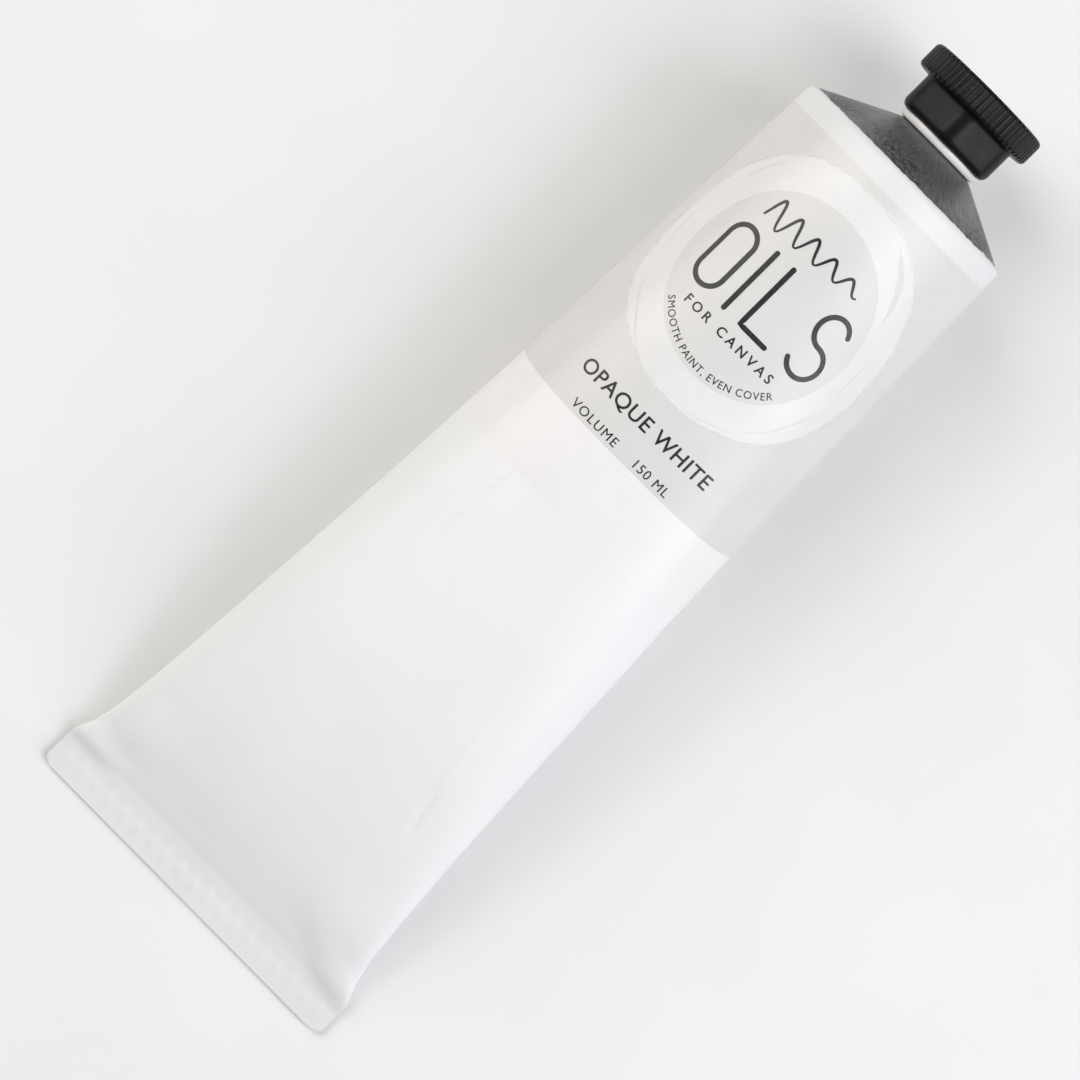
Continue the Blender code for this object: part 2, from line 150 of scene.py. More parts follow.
# Creases along the top: x and y of both ends, reach across, rise (a groove is negative)
CREASES = (
    (0.0690, 0.0125, 0.0885, 0.0101, 0.0006, -0.00030),
    (0.0350, -0.0179, 0.0440, -0.0160, 0.0009, -0.00030),
    (0.0420, -0.0163, 0.0560, -0.0143, 0.0008, 0.00016),
)
CREASE_FULL = 0.25
CREASE_FADES = 0.85

# The lip's ragged edge on the cone: height, size, seed
LIP_WAVES = ((0.00022, 0.16, 5), (0.00020, 0.045, 6))
LIP_MARGIN = 0.00005

# ---- paint and sealant ----------------------------------------------------------------------------
INSET = -0.0004
FILL_SIDES = (64, 48)
SEALANT_START = 0.0068
SEALANT_END = 0.0090

# ---- label print ----------------------------------------------------------------------------------
GREY_START = 0.1001
GREY_END = 0.1549
FILM = 0.00006
FILM_BASE = 0.00001
FILM_SEAM = math.radians(2.0)
FILM_SIDES = 240
INK = 0.00002
DISC_X = 0.1325
DISC_W = -0.0016
DISC_RADIUS = 0.0158
BAND_RADIUS = 0.0215
# The band's outside edge: height, size, seed
BAND_WAVES = ((0.0006, 0.8, 11), (0.00024, 0.12, 12), (0.00022, 0.035, 14))
BAND_OVAL = 0.0007
BAND_OVAL_TURN = 0.2
BRISTLES = 64
TEXT_CUT = 0.0009

# ---- neck and cap ---------------------------------------------------------------------------------
PITCH = 0.0025
THREAD_RISE = 0.00065
THREAD_START = 0.1662
THREAD_END = 0.1726
CAP_THREAD_START = 0.1667
CAP_THREAD_END = 0.1718
NECK_RADIUS = 0.00605
BORE = 0.0045
CONE_X = 0.1587
CONE_FOOT = 0.0193
CONE_WALL = 0.0010
CONE_INSIDE = 0.0188
CONE_TOP_X = 0.1644
CONE_TOP_RADIUS = 0.0076
HEAD_BASE = 0.1718
HEAD_ROUND = 0.0008
BASE_ROUND = 0.0012
HEX_FLAT = 0.00855
HEX_CORNER = 0.00925
HEX_SOFTNESS = 0.00014
CAP_WALL_RADIUS = 0.00705
CAP_CEILING = 0.1746
KNURLS = 60
KNURL_DEPTH = 0.00019
KNURL_STEPS = 10
KNURL_SHARPNESS = 2.6


# ---------------------------------------------------------------------------------------------------
# Numbers
# ---------------------------------------------------------------------------------------------------
def ramp(value, low, high):
    """Smooth step from 0 at low to 1 at high."""
    t = np.clip((value - low) / (high - low), 0.0, 1.0)
    return t * t * (3.0 - 2.0 * t)


def bell(value, middle, reach):
    """1 at the middle, falling smoothly to 0 a reach away."""
    return 1.0 - ramp(np.abs(value - middle), 0.0, reach)


def fading(x, amount, start, end):
    """An amount that fades out along the tube."""
    return amount * (1.0 - ramp(x, start, end))


def station(column, x):
    """Monotone cubic through one column of SHAPE, for an array of x."""
    places = SHAPE[:, 0]
    values = SHAPE[:, column]
    run = np.diff(places)
    slope = np.diff(values) / run
    tangent = np.empty(len(places))
    tangent[0] = slope[0]
    tangent[-1] = slope[-1]
    same = slope[:-1] * slope[1:] > 0.0
    total = np.where(same, slope[:-1] + slope[1:], 1.0)
    tangent[1:-1] = np.where(same, 2.0 * slope[:-1] * slope[1:] / total, 0.0)
    k = np.clip(np.searchsorted(places, x) - 1, 0, len(run) - 1)
    t = np.clip((x - places[k]) / run[k], 0.0, 1.0)
    start = (2 * t ** 3 - 3 * t ** 2 + 1) * values[k] + (t ** 3 - 2 * t ** 2 + t) * run[k] * tangent[k]
    end = (3 * t ** 2 - 2 * t ** 3) * values[k + 1] + (t ** 3 - t ** 2) * run[k] * tangent[k + 1]
    return start + end


def wander(points, size, seed):
    """Smooth noise, about -1 to 1, over features of the given size."""
    shift = Vector((seed * 13.7, seed * 5.1, seed * 9.3))
    flat = points.reshape(-1, 3)
    values = [noise.noise(Vector(p) / size + shift) for p in flat]
    return np.array(values).reshape(points.shape[:-1])


def waves(points, table):
    """The sum of several noises, each given as height, size and seed."""
    return sum(height * wander(points, size, seed) for height, size, seed in table)


def spread(k, ratio):
    """The k-th of an even but irregular run of numbers from 0 to 1."""
    return (k * ratio) % 1.0


# ---------------------------------------------------------------------------------------------------
# The sleeve's skin
# ---------------------------------------------------------------------------------------------------
def plain_skin(x, angle):
    """Sections between an ellipse and a stadium, resting on a straight underside."""
    half = station(1, x)
    reach = np.clip((TAIL_CORNER - x) / TAIL_CORNER, 0.0, 1.0)
    half = half - TAIL_CORNER * (1.0 - np.sqrt(1.0 - reach * reach))
    bottom = -(TAIL_DROP + (BODY_RADIUS - TAIL_DROP) * x / RIM_START)
    tall = station(2, x)
    b = tall / 2.0
    c = np.cos(angle)
    s = np.sin(angle)
    crisp = CRISP - CRISP_LOSS * ramp(x, *CRISP_REACH)
    sideways = np.tanh(crisp * c) / np.tanh(crisp)
    top_power = 1.0 + sum(fading(x, *square) for square in TOP_SQUARE)
    base_power = 1.0 + sum(fading(x, *square) for square in BASE_SQUARE)
    power = np.where(s > 0.0, top_power, base_power)
    lift = np.sign(s) * (1.0 - (1.0 - np.abs(s)) ** power)
    return np.stack([x, (half - b) * sideways + b * c, bottom + b + b * lift], -1)


def relief(x, angle, points):
    """Ribs, swellings, creases and the soft waves of thin filled metal, as a height over the plain skin."""
    y = points[..., 1]
    top = ramp(np.sin(angle), *TOP_REACH)
    body = ramp(x, *WAVES_START) * (1.0 - ramp(x, *WAVES_END))
    height = body * waves(points, WAVES)
    rib = (y / RIB_PITCH + 0.5) % 1.0 - 0.5
    ribbed = (np.abs(y) < RIB_PITCH * RIB_COUNT / 2.0) & (np.sin(angle) > 0.0)
    depth = RIB_RISE * (RIB_EVEN + (1.0 - RIB_EVEN) * bell(y, RIB_DEEPEST_Y, RIB_DEEPEST_REACH))
    height = height + depth * ribbed * bell(rib, 0.0, RIB_SHARE) * bell(x, RIB_X, RIB_LENGTH)
    for side, start, rise, end, slant, across, length, tall in SWELLS:
        begin = start + slant * (np.abs(y) - across)
        step = ramp(x, begin, begin + rise) * (1.0 - ramp(x, begin + rise, end))
        height = height + tall * top * step * bell(y, side * across, length)
    for x_start, y_start, x_end, y_end, wide, rise in CREASES:
        share = np.clip((x - x_start) / (x_end - x_start), 0.0, 1.0)
        fade = ramp(share, 0.0, CREASE_FULL) * (1.0 - ramp(share, CREASE_FADES, 1.0))
        middle = y_start + (y_end - y_start) * share
        height = height + rise * fade * top * bell(y, middle, wide)
    return height


def skin(x, angle, out=0.0):
    """Points of the finished skin, moved outward by out."""
    x = np.asarray(x, float)
    angle = np.asarray(angle, float)
    x, angle = np.broadcast_arrays(x, angle)
    step = 1e-5
    turn = 1e-3
    points = plain_skin(x, angle)
    forward = plain_skin(x + step, angle) - plain_skin(np.maximum(x - step, 0.0), angle)
    round_about = plain_skin(x, angle + turn) - plain_skin(x, angle - turn)
    normal = np.cross(round_about, forward)
    normal /= np.maximum(np.linalg.norm(normal, axis=-1, keepdims=True), 1e-12)
    return points + normal * (relief(x, angle, points) + out)[..., None]


def even_angles(x, start, end, count):
    """Angles that share the skin's length evenly between two angles, both ends counted."""
    fine = np.linspace(start, end, 721)
    points = plain_skin(np.full(fine.shape, x), fine)
    steps = np.linalg.norm(np.diff(points, axis=0), axis=1)
    total = np.concatenate([[0.0], np.cumsum(steps)])
    return np.interp(np.linspace(0.0, total[-1], count + 1), total, fine)


def round_angles(x, top_count, base_count):
    """Angles of one full row, closer together over the top than underneath."""
    top = even_angles(x, 0.0, math.pi, top_count)
    base = even_angles(x, math.pi, 2.0 * math.pi, base_count)
    return np.concatenate([top[:-1], base[:-1]])


def skin_row(x, out=0.0, top_count=TOP_SIDES, base_count=BASE_SIDES):
    return skin(x, round_angles(x, top_count, base_count), out)


def circle(x, radius, angle):
    radius = np.broadcast_to(radius, angle.shape)
    return np.stack([np.full(angle.shape, x), radius * np.cos(angle), radius * np.sin(angle)], -1)


# ---------------------------------------------------------------------------------------------------
# Meshes
# ---------------------------------------------------------------------------------------------------
def put(name, verts, faces, body, materials, indices=None):
    """Makes a piece from points in the tube's frame, cleans it and lets it ride on a body."""
    mesh = bpy.data.meshes.new(name)
    mesh.from_pydata([TUBE @ Vector(v) for v in verts], [], [tuple(f) for f in faces])
    for material in materials:
        mesh.materials.append(material)
    if indices is not None:
        mesh.polygons.foreach_set("material_index", indices)
    bm = bmesh.new()
    bm.from_mesh(mesh)
    bmesh.ops.recalc_face_normals(bm, faces=bm.faces)
    bm.to_mesh(mesh)
    bm.free()
    for face in mesh.polygons:
        face.use_smooth = True
    mesh.set_sharp_from_angle(angle=SHARP_EDGE)
    piece = bpy.data.objects.new(name, mesh)
    bpy.context.scene.collection.objects.link(piece)
    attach(piece, body)
    return piece


def rings_to_faces(rings, joined=False):
    """Vertices and faces of a loft through rings of equal length, its ends capped or joined together."""
    count = len(rings[0])
    verts = np.concatenate([np.asarray(ring) for ring in rings])
    faces = []
    rows = len(rings)
    for r in range(rows if joined else rows - 1):
        here = r * count
        there = ((r + 1) % rows) * count
        for i in range(count):
            after = (i + 1) % count
            faces.append((here + i, here + after, there + after, there + i))
    if not joined:
        faces.append(tuple(range(count)))
        faces.append(tuple(range((rows - 1) * count, rows * count)))
    return verts, faces


def around(sides):
    return np.arange(sides) * 2.0 * math.pi / sides


# ---------------------------------------------------------------------------------------------------
# Materials
# ---------------------------------------------------------------------------------------------------
class Recipe:
    """A small helper that adds nodes to one material."""

    def __init__(self, name, metallic=0.0, ior=1.5, specular=0.5):
        self.material = bpy.data.materials.new(name)
        self.material.use_nodes = True
        self.nodes = self.material.node_tree.nodes
        self.links = self.material.node_tree.links
        self.shader = self.nodes["Principled BSDF"]
        self.shader.inputs["Metallic"].default_value = metallic
        self.shader.inputs["IOR"].default_value = ior
        self.shader.inputs["Specular IOR Level"].default_value = specular
        # The meshes hold the tube's tilt, so the patterns are turned back into the tube's own frame.
        coordinates = self.nodes.new("ShaderNodeTexCoord")
        upright = self.nodes.new("ShaderNodeMapping")
        back = TUBE.inverted()
        upright.inputs["Rotation"].default_value = back.to_euler()
        upright.inputs["Location"].default_value = back.translation
        self.links.new(coordinates.outputs["Object"], upright.inputs["Vector"])
        self.place = upright.outputs["Vector"]
        self.height = None

    def noise(self, scale, detail=3.0, roughness=0.5, place=None):
        texture = self.nodes.new("ShaderNodeTexNoise")
        texture.inputs["Scale"].default_value = scale
        texture.inputs["Detail"].default_value = detail
        texture.inputs["Roughness"].default_value = roughness
        self.links.new(place or self.place, texture.inputs["Vector"])
        return texture.outputs["Fac"]

    def along_tube(self):
        split = self.nodes.new("ShaderNodeSeparateXYZ")
        self.links.new(self.place, split.inputs["Vector"])
        return split.outputs["X"]

    def times(self, source, other):
        """The product of an output and either a number or another output."""
        node = self.nodes.new("ShaderNodeMath")
        node.operation = "MULTIPLY"
        self.links.new(source, node.inputs[0])
        if isinstance(other, float):
            node.inputs[1].default_value = other
        else:
            self.links.new(other, node.inputs[1])
        return node.outputs["Value"]

    def mottle(self, scale, detail, low, high, roughness=0.5, spans=(0.3, 0.7)):
        """A noise between two colours."""
        return self.colours(self.noise(scale, detail, roughness), ((spans[0], low), (spans[1], high)))

    def colours(self, source, stops):
        blend = self.nodes.new("ShaderNodeValToRGB")
        elements = blend.color_ramp.elements
        while len(elements) < len(stops):
            elements.new(0.5)
        for element, (position, colour) in zip(elements, stops):
            element.position = position
            element.color = (*colour, 1.0)
        self.links.new(source, blend.inputs["Fac"])
        return blend.outputs["Color"]

    def to_range(self, source, low, high, start=0.3, end=0.7):
        scaled = self.nodes.new("ShaderNodeMapRange")
        scaled.inputs["From Min"].default_value = start
        scaled.inputs["From Max"].default_value = end
        scaled.inputs["To Min"].default_value = low
        scaled.inputs["To Max"].default_value = high
        self.links.new(source, scaled.inputs["Value"])
        return scaled.outputs["Result"]

    def colour(self, source):
        self.links.new(source, self.shader.inputs["Base Color"])

    def roughness(self, source, low, high):
        self.links.new(self.to_range(source, low, high), self.shader.inputs["Roughness"])

    def bump(self, source, distance):
        node = self.nodes.new("ShaderNodeBump")
        node.inputs["Distance"].default_value = distance
        self.links.new(source, node.inputs["Height"])
        if self.height is not None:
            self.links.new(self.height, node.inputs["Normal"])
        self.height = node.outputs["Normal"]
        self.links.new(self.height, self.shader.inputs["Normal"])


def grey(value):
    return (value, value, value)


def enamel_material():
    """White enamel with a faint orange peel; painted shade makes it a shade greyer on the pressed fold and
    on the rim.
    """
    recipe = Recipe("enamel")
    shade = recipe.mottle(60.0, 4.0, (0.835, 0.835, 0.84), (0.86, 0.86, 0.86))
    tube_length = 0.16
    # Painted shade: the colour is darkened over the fold at the tail and on the rim by the shoulder.
    painted_shade_ramp = recipe.colours(recipe.to_range(recipe.along_tube(), 0.0, 1.0, 0.0, tube_length), (
        (0.021, grey(0.84)), (0.060, grey(1.0)), (0.945, grey(1.0)), (0.965, grey(0.90))))
    toned = recipe.nodes.new("ShaderNodeMix")
    toned.data_type = "RGBA"
    toned.blend_type = "MULTIPLY"
    toned.inputs["Factor"].default_value = 1.0
    recipe.links.new(shade, toned.inputs["A"])
    recipe.links.new(painted_shade_ramp, toned.inputs["B"])
    recipe.colour(toned.outputs["Result"])
    recipe.roughness(recipe.noise(160.0, 4.0), 0.38, 0.46)
    recipe.bump(recipe.noise(900.0, 2.0), 0.00001)
    recipe.bump(recipe.noise(140.0, 2.0), 0.00005)
    return recipe.material


def film_material(name, low, high, rough):
    recipe = Recipe(name, ior=1.48)
    recipe.colour(recipe.mottle(110.0, 5.0, low, high, 0.6))
    recipe.roughness(recipe.noise(240.0, 3.0), rough, rough + 0.08)
    recipe.bump(recipe.noise(1100.0, 2.0), 0.00001)
    recipe.bump(recipe.noise(140.0, 2.0), 0.00005)
    return recipe.material


def ink_material():
    recipe = Recipe("print_black", ior=1.48)
    recipe.colour(recipe.mottle(1500.0, 3.0, grey(0.012), grey(0.030), spans=(0.3, 0.75)))
    recipe.roughness(recipe.noise(700.0), 0.30, 0.42)
    return recipe.material


def bare_metal_material():
    """Dull turned aluminium, its colour darkened as a painted reflection of dark surroundings: brushed from
    the neck outward, pitted in a belt before the lip.
    """
    recipe = Recipe("bare_aluminium", metallic=0.62)
    nodes = recipe.nodes
    links = recipe.links
    upright = nodes.new("ShaderNodeMapping")
    upright.inputs["Rotation"].default_value = (0.0, math.radians(90.0), 0.0)
    links.new(recipe.place, upright.inputs["Vector"])
    turn = nodes.new("ShaderNodeTexGradient")
    turn.gradient_type = "RADIAL"
    links.new(upright.outputs["Vector"], turn.inputs["Vector"])
    strokes_round = 190.0
    strokes_along = 700.0
    brushed = nodes.new("ShaderNodeCombineXYZ")
    links.new(recipe.times(turn.outputs["Fac"], strokes_round), brushed.inputs["X"])
    links.new(recipe.times(recipe.along_tube(), strokes_along), brushed.inputs["Y"])
    strokes = recipe.noise(1.0, 4.0, 0.6, brushed.outputs["Vector"])
    belt_start = 0.1602
    belt_end = 0.1630
    belt = recipe.to_range(recipe.along_tube(), 1.0, 0.0, belt_start, belt_end)
    cloud = recipe.noise(120.0, 3.0, 0.6)
    patch = recipe.times(belt, recipe.to_range(cloud, 0.0, 1.0, 0.42, 0.60))
    pits = recipe.to_range(recipe.noise(1500.0, 3.0, 0.7), 0.0, 1.0, 0.30, 0.86)
    grain = nodes.new("ShaderNodeMix")
    links.new(patch, grain.inputs["Factor"])
    links.new(strokes, grain.inputs["A"])
    links.new(pits, grain.inputs["B"])
    # Painted reflection: the dark greys stand in for the dark surroundings the bare metal mirrors; the
    # strokes and pits are its own texture.
    recipe.colour(recipe.colours(grain.outputs["Result"], (
        (0.20, (0.055, 0.055, 0.062)), (0.44, (0.155, 0.153, 0.162)),
        (0.62, (0.205, 0.203, 0.215)), (0.80, (0.33, 0.33, 0.345)))))
    recipe.roughness(cloud, 0.40, 0.55)
    recipe.bump(grain.outputs["Result"], 0.00005)
    return recipe.material


def plastic_material(name, low, high, rough, grain, specks=None, specular=0.5):
    """Moulded plastic, rubber or foam; specks is the colour of fine dust on it."""
    recipe = Recipe(name, specular=specular)
    shade = recipe.mottle(420.0, 4.0, low, high)
    if specks is not None:
        cells = recipe.nodes.new("ShaderNodeTexVoronoi")
        cells.inputs["Scale"].default_value = 300.0
        recipe.links.new(recipe.place, cells.inputs["Vector"])
        dust = recipe.nodes.new("ShaderNodeMix")
        dust.data_type = "RGBA"
        amount = recipe.to_range(cells.outputs["Distance"], 1.0, 0.0, 0.03, 0.07)
        recipe.links.new(amount, dust.inputs["Factor"])
        recipe.links.new(shade, dust.inputs["A"])
        dust.inputs["B"].default_value = (*specks, 1.0)
        shade = dust.outputs["Result"]
    recipe.colour(shade)
    recipe.roughness(recipe.noise(500.0, 4.0), rough, rough + 0.10)
    recipe.bump(recipe.noise(grain, 3.0, 0.6), 0.00003)
    return recipe.material


def paste_material():
    recipe = Recipe("white_paste", ior=1.45)
    recipe.colour(recipe.mottle(300.0, 3.0, (0.88, 0.88, 0.86), (0.93, 0.93, 0.92)))
    recipe.roughness(recipe.noise(220.0), 0.22, 0.36)
    recipe.bump(recipe.noise(320.0, 2.0), 0.0002)
    return recipe.material


enamel = enamel_material()
film_white = film_material("film_white", (0.835, 0.82, 0.82), (0.86, 0.845, 0.845), 0.32)
film_grey = film_material("film_grey", (0.684, 0.675, 0.662), (0.708, 0.700, 0.687), 0.32)
brushed_white = film_material("print_white", (0.76, 0.752, 0.742), (0.80, 0.795, 0.79), 0.34)
ink_black = ink_material()
bare_metal = bare_metal_material()
black_plastic = plastic_material(
    "black_plastic", grey(0.0030), grey(0.0055), 0.285, 2600.0, specks=grey(0.09), specular=0.18)
white_plastic = plastic_material("white_plastic", (0.70, 0.69, 0.675), (0.76, 0.75, 0.735), 0.35, 1400.0)
liner_foam = plastic_material("liner_foam", (0.66, 0.66, 0.64), (0.78, 0.78, 0.76), 0.75, 3800.0)
sealant = plastic_material("sealant_rubber", (0.42, 0.36, 0.24), (0.55, 0.49, 0.36), 0.65, 1800.0)
paste = paste_material()


# ---------------------------------------------------------------------------------------------------
# Sleeve: outer skin to a ragged lip on the cone, thin edge, inner skin back to the fold
# ---------------------------------------------------------------------------------------------------
RIM_ANGLES = round_angles(RIM_START, TOP_SIDES, BASE_SIDES)
RIM_TURN = math.pi / 2.0 - CONE_TILT


def lip_point(depth):
    """Where the lip ends on the cone, ragged round the rim; depth moves it under the skin."""
    corner = RIM_START + RIM_ROUND * math.sin(RIM_TURN)
    corner_radius = BODY_RADIUS - RIM_ROUND + RIM_ROUND * math.cos(RIM_TURN)
    spots = np.stack([np.cos(RIM_ANGLES), np.sin(RIM_ANGLES), 0.0 * RIM_ANGLES], -1)
    radius = np.minimum(LIP_RADIUS + waves(spots, LIP_WAVES), corner_radius - LIP_MARGIN)
    x = corner + (corner_radius - radius) * math.tan(CONE_TILT)
    x = x - depth * math.cos(CONE_TILT)
    radius = radius - depth * math.sin(CONE_TILT)
    return np.stack([x, radius * np.cos(RIM_ANGLES), radius * np.sin(RIM_ANGLES)], -1)


def rim_rows(out, steps):
    """The rounded rim between body and cone, moved outward by out."""
    rows = []
    for i in range(1, steps + 1):
        angle = RIM_TURN * i / steps
        x = RIM_START + (RIM_ROUND + out) * math.sin(angle)
        radius = BODY_RADIUS - RIM_ROUND + (RIM_ROUND + out) * math.cos(angle)
        rows.append(circle(x, radius, RIM_ANGLES))
    return rows


def make_sleeve():
    bend_end = 0.0090
    swell_end = 0.0160
    fine_step = 0.0003
    middle_step = 0.0006
    coarse_step = 0.0017
    edge = TAIL_CORNER * (1.0 - np.cos(np.linspace(0.0, math.pi / 2.0, 7)))
    fine = np.arange(TAIL_CORNER + fine_step, bend_end, fine_step)
    middle = np.arange(bend_end, swell_end, middle_step)
    coarse = np.append(np.arange(swell_end, RIM_START - 0.001, coarse_step), RIM_START)
    pocket = (*np.linspace(RIM_START, 0.0100, 26), 0.0085, 0.0074, 0.0066)
    rows = [skin_row(x) for x in (*edge, *fine, *middle, *coarse)]
    rows += rim_rows(0.0, 8)
    rows.append(lip_point(0.0))
    rows.append(lip_point(SKIN))
    rows += rim_rows(-SKIN, 4)[::-1]
    rows += [skin_row(x, -SKIN) for x in pocket]
    verts, faces = rings_to_faces(rows)
    piece = put("enamel_sleeve", verts, faces, "tube", [enamel])
    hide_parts("tube_sleeve")


make_sleeve()


# ---------------------------------------------------------------------------------------------------
# Paint and tail sealant inside the sleeve
# ---------------------------------------------------------------------------------------------------
def make_paint():
    steep_end = 0.0300
    body_start = 0.0360
    body_end = 0.1565
    shoulder_start = 0.1578
    shoulder_gap = 0.0008
    shoulder_widest = 0.0186
    crown = 0.0003
    places = (*np.linspace(PAINT_START, steep_end, 12), *np.linspace(body_start, body_end, 36))
    rows = [skin_row(x, INSET, *FILL_SIDES) for x in places]
    angles = round_angles(RIM_START, *FILL_SIDES)
    rows.append(circle(RIM_START, LIP_RADIUS, angles))
    for x in np.linspace(shoulder_start, PAINT_END, 6):
        radius = LIP_RADIUS - (x + shoulder_gap - CONE_X) / math.tan(CONE_TILT)
        rows.append(circle(x, min(radius, shoulder_widest), angles))
    last = rows[-1]
    for share in (0.7, 0.4, 0.15):
        swell = last.copy()
        swell[:, 1:] *= share
        swell[:, 0] += crown * (1.0 - share)
        rows.append(swell)
    verts, faces = rings_to_faces(rows)
    piece = put("paint_paste", verts, faces, "tube", [paste])
    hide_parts("paint_fill")


def make_sealant():
    rows = [skin_row(x, INSET, *FILL_SIDES) for x in np.linspace(SEALANT_START, SEALANT_END, 8)]
    verts, faces = rings_to_faces(rows)
    piece = put("tail_sealant", verts, faces, "tube", [sealant])
    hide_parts("end_sealant")


make_paint()
make_sealant()


# ---------------------------------------------------------------------------------------------------
# Label film, and a map from its flat print to the tube: x along, w round from the top line
# ---------------------------------------------------------------------------------------------------
MAP_ANGLES = np.linspace(math.radians(-30.0), math.radians(210.0), 481)
MAP_X = np.linspace(LABEL_START, LABEL_END, 36)


def lengths_round(x):
    """Lengths round the tube from the top line to each of MAP_ANGLES."""
    points = plain_skin(np.full(MAP_ANGLES.shape, x), MAP_ANGLES)
    steps = np.linalg.norm(np.diff(points[:, 1:], axis=0), axis=1)
    total = np.concatenate([[0.0], np.cumsum(steps)])
    return total - np.interp(math.pi / 2.0, MAP_ANGLES, total)


LENGTH_MAP = np.array([lengths_round(x) for x in MAP_X])


def on_label(x, w, out):
    """Points on the label for flat print places x and w, moved outward by out."""
    x = np.asarray(x, float)
    w = np.asarray(w, float)
    share = np.clip((x - MAP_X[0]) / (MAP_X[1] - MAP_X[0]), 0.0, len(MAP_X) - 1.001)
    row = share.astype(int)
    part = share - row
    angles = np.empty(len(x))
    for i in range(len(x)):
        lengths = LENGTH_MAP[row[i]] * (1.0 - part[i]) + LENGTH_MAP[row[i] + 1] * part[i]
        angles[i] = np.interp(w[i], lengths, MAP_ANGLES)
    return skin(x, angles, FILM + out)


def make_label():
    places = sorted({*np.linspace(LABEL_START, GREY_START, 7), *np.linspace(GREY_START, GREY_END, 36)})
    rows = []
    for x in places:
        angles = even_angles(x, FILM_SEAM - math.pi / 2.0, 3.0 * math.pi / 2.0 - FILM_SEAM, FILM_SIDES)
        rows.append(np.concatenate([skin(x, angles, FILM), skin(x, angles, FILM_BASE)[::-1]]))
    verts, faces = rings_to_faces(rows)
    indices = []
    for x in places[:-1]:
        indices += [1 if x >= GREY_START else 0] * len(rows[0])
    indices += [0, 0]
    films = [film_white, film_grey]
    piece = put("label_film", verts, faces, "tube", films, indices=indices)
    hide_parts("wrap_label")


make_label()


# ---------------------------------------------------------------------------------------------------
# Print on the label
# ---------------------------------------------------------------------------------------------------
def print_piece(name, patches, material, out):
    """One thin printed piece from flat patches: each is (points of (x, w), faces)."""
    verts = []
    faces = []
    for points, patch_faces in patches:
        offset = len(verts)
        verts += [tuple(p) for p in points]
        faces += [tuple(offset + i for i in face) for face in patch_faces]
    flat = np.array(verts)
    upper = on_label(flat[:, 0], flat[:, 1], out + INK)
    lower = on_label(flat[:, 0], flat[:, 1], out)
    count = len(flat)
    edges = {}
    for face in faces:
        for a, b in zip(face, face[1:] + face[:1]):
            edges[(a, b)] = edges.get((a, b), 0) + 1
    walls = [(a, b, b + count, a + count) for (a, b) in edges if (b, a) not in edges]
    all_faces = faces + [tuple(i + count for i in reversed(face)) for face in faces] + walls
    put(name, np.concatenate([upper, lower]), all_faces, "tube", [material])


def stroke(path, width, closed=False):
    """A ribbon of even or varying width along a path of (x, w) points, its ends round."""
    path = np.array(path, float)
    count = len(path)
    widths = np.broadcast_to(width, (count,)) / 2.0
    if closed:
        ahead = np.roll(path, -1, axis=0) - np.roll(path, 1, axis=0)
    else:
        ahead = np.gradient(path, axis=0)
    ahead /= np.maximum(np.linalg.norm(ahead, axis=1, keepdims=True), 1e-12)
    side = np.stack([-ahead[:, 1], ahead[:, 0]], -1)
    left = path + side * widths[:, None]
    right = path - side * widths[:, None]
    points = list(left) + list(right)
    faces = []
    for i in range(count if closed else count - 1):
        j = (i + 1) % count
        faces.append((i, j, count + j, count + i))
    if not closed:
        for end, way, first, last in ((0, -1.0, 0, count), (count - 1, 1.0, count - 1, 2 * count - 1)):
            base = len(points)
            for turn in np.linspace(0.0, math.pi, 7)[1:-1]:
                reach = side[end] * math.cos(turn) + way * ahead[end] * math.sin(turn)
                points.append(path[end] + widths[end] * reach)
            fan = (first, *range(base, len(points)), last)
            faces.append(fan if way > 0.0 else tuple(reversed(fan)))
    return [(np.array(points), faces)]


def arc(cx, cw, rx, rw, start, end, steps=24):
    """Points of an arc round (cx, cw), in degrees from the w direction towards the cap."""
    turns = np.radians(np.linspace(start, end, steps))
    return [(cx + rx * math.sin(t), cw + rw * math.cos(t)) for t in turns]


def line(x0, w0, x1, w1, steps=14):
    return [(x0 + (x1 - x0) * k / steps, w0 + (w1 - w0) * k / steps) for k in range(steps + 1)]


def text_patches(words, size, x, w, spacing=1.0, weight=0.0, bend=0.0):
    """Generic words as flat patches: letters stand up towards the cap and read across the tube.

    With a bend, the line runs round the disc at that radius, middle at the tail side, tops inward.
    """
    curve = bpy.data.curves.new("words", "FONT")
    curve.body = words
    curve.size = size
    curve.space_character = spacing
    curve.align_x = "CENTER" if bend else "LEFT"
    curve.offset = weight
    curve.resolution_u = 4
    thing = bpy.data.objects.new("words", curve)
    bpy.context.scene.collection.objects.link(thing)
    bpy.context.view_layer.update()
    mesh = bpy.data.meshes.new_from_object(thing)
    bpy.data.objects.remove(thing)
    bm = bmesh.new()
    bm.from_mesh(mesh)
    bmesh.ops.remove_doubles(bm, verts=bm.verts, dist=1e-7)
    low = min(v.co.x for v in bm.verts)
    high = max(v.co.x for v in bm.verts)
    cut = low
    while cut < high:
        cut += TEXT_CUT
        parts = list(bm.verts) + list(bm.edges) + list(bm.faces)
        bmesh.ops.bisect_plane(bm, geom=parts, plane_co=(cut, 0.0, 0.0), plane_no=(1.0, 0.0, 0.0))
    bmesh.ops.triangulate(bm, faces=bm.faces)
    bm.verts.index_update()
    points = []
    for v in bm.verts:
        if bend:
            turn = v.co.x / bend
            reach = bend - v.co.y
            points.append((x - reach * math.cos(turn), w + reach * math.sin(turn)))
        else:
            points.append((x + v.co.y, w + v.co.x))
    faces = [tuple(v.index for v in face.verts) for face in bm.faces]
    bm.free()
    bpy.data.meshes.remove(mesh)
    return [(np.array(points), faces)]


def band_point(turn, radius):
    """A place on the label at an angle from the cap direction and a distance from the disc's middle."""
    return DISC_X + radius * np.cos(turn), DISC_W + radius * np.sin(turn)


